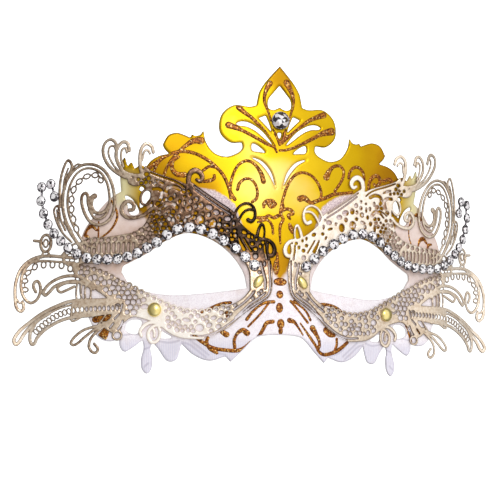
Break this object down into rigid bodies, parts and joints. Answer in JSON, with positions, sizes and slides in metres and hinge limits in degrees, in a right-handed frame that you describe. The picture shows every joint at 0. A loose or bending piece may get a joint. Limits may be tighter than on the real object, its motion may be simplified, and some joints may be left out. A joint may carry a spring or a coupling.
{
  "type": "masquerade half mask",
  "caption": "Venetian style half mask: a curved painted shell with eye holes, cut metal filigree sheets over it, rhinestone rows and small rivets.",
  "frame": {"origin": "middle of the underside of the whole mask, on the surface that it lies on", "axes": "+X to the right of someone facing the mask's front, +Y towards the crown, +Z out of the front; the mask lies face up"},
  "size_m": [0.207, 0.1248, 0.0412],
  "materials": {
    "painted_shell": "gold paint above the eyes, fading to white glitter at the temples and cheeks, matte inside",
    "filigree_metal": "plated and polished, champagne to dark bronze",
    "stone_cups": "clear cut stones in dark metal cups",
    "clear_stone": "clear faceted stone with a foiled back",
    "rivet_brass": "polished pale brass"
  },
  "bodies": {
    "root": {"mask_shell": "painted_shell", "filigree_right": "filigree_metal", "filigree_left": "filigree_metal", "stone_chain_right": "stone_cups", "stone_chain_left": "stone_cups", "crown_stone": "clear_stone", "outer_rivet_right": "rivet_brass", "outer_rivet_left": "rivet_brass", "inner_rivet_right": "rivet_brass", "inner_rivet_left": "rivet_brass"}
  },
  "joints": []
}
